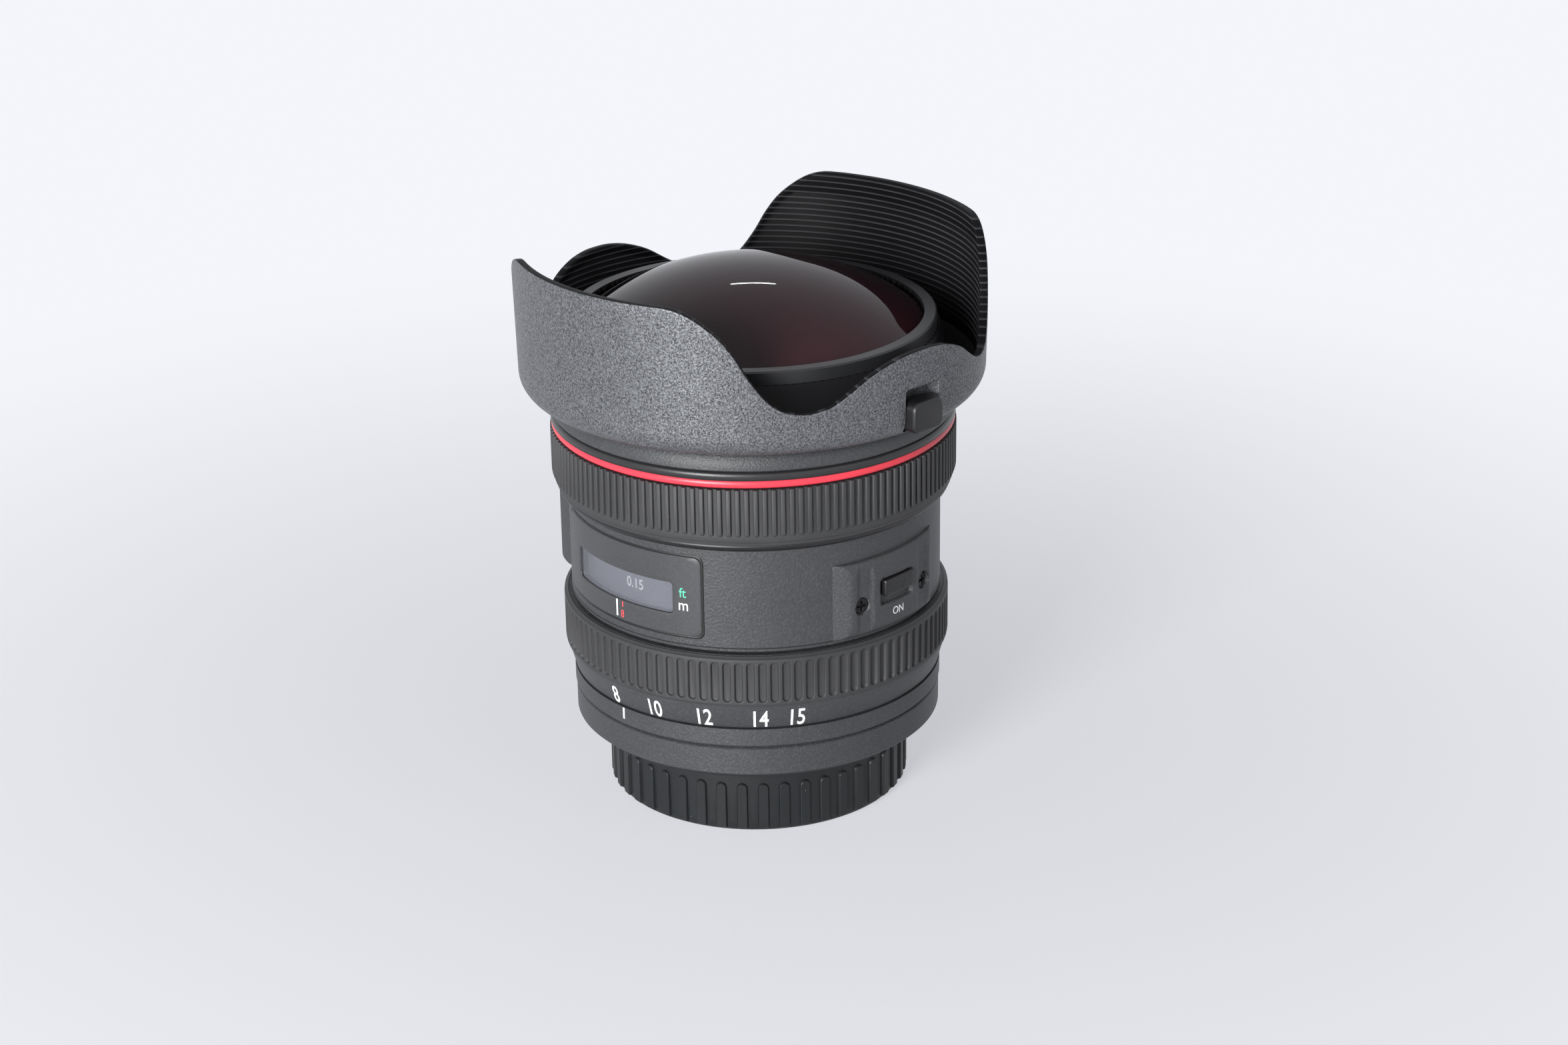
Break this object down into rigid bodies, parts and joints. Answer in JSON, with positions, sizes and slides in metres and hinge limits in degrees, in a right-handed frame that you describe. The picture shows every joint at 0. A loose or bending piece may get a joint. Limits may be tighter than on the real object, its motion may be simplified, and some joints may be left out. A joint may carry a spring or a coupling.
{
  "type": "fisheye lens",
  "caption": "Fisheye zoom lens with ribbed focus and zoom rings, domed front glass, petal hood and ribbed rear cap.",
  "frame": {"origin": "centre of the rear cap's flat bottom, on the optical axis", "axes": "+Z along the optical axis towards the front glass, -Y towards the index line and the scale window"},
  "size_m": [0.0925, 0.0912, 0.1122],
  "materials": {
    "barrel_black": "fine crinkle black paint",
    "rubber": "matt ribbed rubber",
    "seal_rubber": "smooth rubber",
    "mount_metal": "satin plated",
    "screw_steel": "blackened steel",
    "inner_plastic": "matt black",
    "contact_gold": "gold plated",
    "inner_metal": "black anodised",
    "roller_brass": "turned",
    "blade_steel": "blackened sheet",
    "scale_black": "satin black with a fine speckle",
    "window_clear": "clear",
    "board_green": "solder mask",
    "red_paint": "satin red",
    "trim_grey": "smooth satin black",
    "ring_black": "satin black",
    "front_glass": "coated glass",
    "inner_glass": "coated glass",
    "knob_black": "matt black",
    "hood_black": "fine sparkle moulded black",
    "cap_black": "moulded black"
  },
  "bodies": {
    "barrel": {"rear_barrel": "barrel_black", "index_ring": "barrel_black", "mount_bayonet": "mount_metal", "mount_screws": "screw_steel", "mount_seal": "seal_rubber", "contact_block": "inner_plastic", "contact_pins": "contact_gold", "rear_baffle": "inner_plastic", "guide_tube": "inner_metal", "middle_barrel": "barrel_black", "scale_plate": "scale_black", "scale_window": "window_clear", "limit_panel": "barrel_black", "mode_panel": "barrel_black", "panel_screws": "screw_steel", "circuit_board": "board_green", "motor_stator": "inner_metal", "front_barrel": "barrel_black", "red_ring": "red_paint", "trim_band": "trim_grey", "front_ring": "ring_black", "front_cell": "inner_plastic", "front_element": "front_glass", "second_element": "inner_glass", "third_element": "inner_glass"},
    "focus_ring": {"focus_ring": "barrel_black", "focus_grip": "rubber"},
    "focus_drum": {"distance_drum": "inner_metal", "motor_rotor": "inner_metal"},
    "focus_group": {"focus_cell": "inner_plastic", "focus_element_front": "inner_glass", "focus_element_rear": "inner_glass", "focus_rollers": "roller_brass"},
    "zoom_ring": {"zoom_ring": "barrel_black", "zoom_grip": "rubber", "cam_barrel": "inner_metal"},
    "zoom_front_group": {"zoom_front_cell": "inner_plastic", "zoom_element_front": "inner_glass", "zoom_element_rear": "inner_glass", "zoom_front_rollers": "roller_brass"},
    "zoom_rear_group": {"zoom_rear_cell": "inner_plastic", "rear_element_front": "inner_glass", "rear_element_rear": "inner_glass", "zoom_rear_rollers": "roller_brass", "iris_base": "inner_plastic"},
    "iris_ring": {"iris_ring": "inner_metal"},
    "limit_knob": {"limit_knob": "knob_black"},
    "mode_knob": {"mode_knob": "knob_black"},
    "hood": {"hood": "hood_black"},
    "hood_button": {"hood_button": "knob_black"},
    "rear_cap": {"rear_cap": "cap_black"},
    "iris_blade_1": {"iris_blade_1": "blade_steel"},
    "iris_blade_2": {"iris_blade_2": "blade_steel"},
    "iris_blade_3": {"iris_blade_3": "blade_steel"},
    "iris_blade_4": {"iris_blade_4": "blade_steel"},
    "iris_blade_5": {"iris_blade_5": "blade_steel"},
    "iris_blade_6": {"iris_blade_6": "blade_steel"},
    "iris_blade_7": {"iris_blade_7": "blade_steel"}
  },
  "joints": [
    {"name": "focus_turn", "type": "hinge", "parent": "barrel", "child": "focus_ring", "pos_m": [0, 0, 0], "axis": [0, 0, 1], "range_deg": [-10, 120]},
    {"name": "focus_drum_turn", "type": "hinge", "parent": "barrel", "child": "focus_drum", "pos_m": [0, 0, 0], "axis": [0, 0, 1], "range_deg": [-5, 60]},
    {"name": "focus_slide", "type": "slide", "parent": "barrel", "child": "focus_group", "axis": [0, 0, 1], "range_m": [-0.00012, 0.00147]},
    {"name": "zoom_turn", "type": "hinge", "parent": "barrel", "child": "zoom_ring", "pos_m": [0, 0, 0], "axis": [0, 0, 1], "range_deg": [-57.5, 3.9]},
    {"name": "zoom_front_slide", "type": "slide", "parent": "barrel", "child": "zoom_front_group", "axis": [0, 0, 1], "range_m": [-0.00014, 0.002]},
    {"name": "zoom_rear_slide", "type": "slide", "parent": "barrel", "child": "zoom_rear_group", "axis": [0, 0, 1], "range_m": [-0.00034, 0.005]},
    {"name": "iris_turn", "type": "hinge", "parent": "zoom_rear_group", "child": "iris_ring", "pos_m": [0, 0, 0], "axis": [0, 0, 1], "range_deg": [0, 5.88]},
    {"name": "limit_slide", "type": "slide", "parent": "barrel", "child": "limit_knob", "axis": [0, 0, -1], "range_m": [0, 0.0017]},
    {"name": "mode_slide", "type": "slide", "parent": "barrel", "child": "mode_knob", "axis": [0, 0, -1], "range_m": [0, 0.0017]},
    {"name": "hood_twist", "type": "hinge", "parent": "barrel", "child": "hood", "pos_m": [0, 0, 0.086], "axis": [0, 0, 1], "range_deg": [-45, 0]},
    {"name": "hood_button_press", "type": "slide", "parent": "hood", "child": "hood_button", "axis": [-1, -0.0087, 0], "range_m": [0, 0.0012], "stiffness_N_per_m": 400, "springref_m": -0.002},
    {"name": "cap_twist", "type": "hinge", "parent": "barrel", "child": "rear_cap", "pos_m": [0, 0, 0], "axis": [0, 0, 1], "range_deg": [0, 60]},
    {"name": "iris_blade_1_swing", "type": "hinge", "parent": "zoom_rear_group", "child": "iris_blade_1", "pos_m": [0, -0.0185, 0.033], "axis": [0, 0, 1], "range_deg": [0, 30.01]},
    {"name": "iris_blade_2_swing", "type": "hinge", "parent": "zoom_rear_group", "child": "iris_blade_2", "pos_m": [0.01446, -0.01153, 0.033], "axis": [0, 0, 1], "range_deg": [0, 30.01]},
    {"name": "iris_blade_3_swing", "type": "hinge", "parent": "zoom_rear_group", "child": "iris_blade_3", "pos_m": [0.01804, 0.00412, 0.033], "axis": [0, 0, 1], "range_deg": [0, 30.01]},
    {"name": "iris_blade_4_swing", "type": "hinge", "parent": "zoom_rear_group", "child": "iris_blade_4", "pos_m": [0.00803, 0.01667, 0.033], "axis": [0, 0, 1], "range_deg": [0, 30.01]},
    {"name": "iris_blade_5_swing", "type": "hinge", "parent": "zoom_rear_group", "child": "iris_blade_5", "pos_m": [-0.00803, 0.01667, 0.033], "axis": [0, 0, 1], "range_deg": [0, 30.01]},
    {"name": "iris_blade_6_swing", "type": "hinge", "parent": "zoom_rear_group", "child": "iris_blade_6", "pos_m": [-0.01804, 0.00412, 0.033], "axis": [0, 0, 1], "range_deg": [0, 30.01]},
    {"name": "iris_blade_7_swing", "type": "hinge", "parent": "zoom_rear_group", "child": "iris_blade_7", "pos_m": [-0.01446, -0.01153, 0.033], "axis": [0, 0, 1], "range_deg": [0, 30.01]}
  ],
  "couplings": [
    {"joint": "focus_drum_turn", "follows": "focus_turn", "ratio": 0.5},
    {"joint": "focus_slide", "follows": "focus_turn", "m_per_rad": 0.00069996},
    {"joint": "zoom_front_slide", "follows": "zoom_turn", "m_per_rad": -0.0019929},
    {"joint": "zoom_rear_slide", "follows": "zoom_turn", "m_per_rad": -0.0049822},
    {"joint": "iris_blade_1_swing", "follows": "iris_turn", "ratio": 5.1},
    {"joint": "iris_blade_2_swing", "follows": "iris_turn", "ratio": 5.1},
    {"joint": "iris_blade_3_swing", "follows": "iris_turn", "ratio": 5.1},
    {"joint": "iris_blade_4_swing", "follows": "iris_turn", "ratio": 5.1},
    {"joint": "iris_blade_5_swing", "follows": "iris_turn", "ratio": 5.1},
    {"joint": "iris_blade_6_swing", "follows": "iris_turn", "ratio": 5.1},
    {"joint": "iris_blade_7_swing", "follows": "iris_turn", "ratio": 5.1}
  ]
}
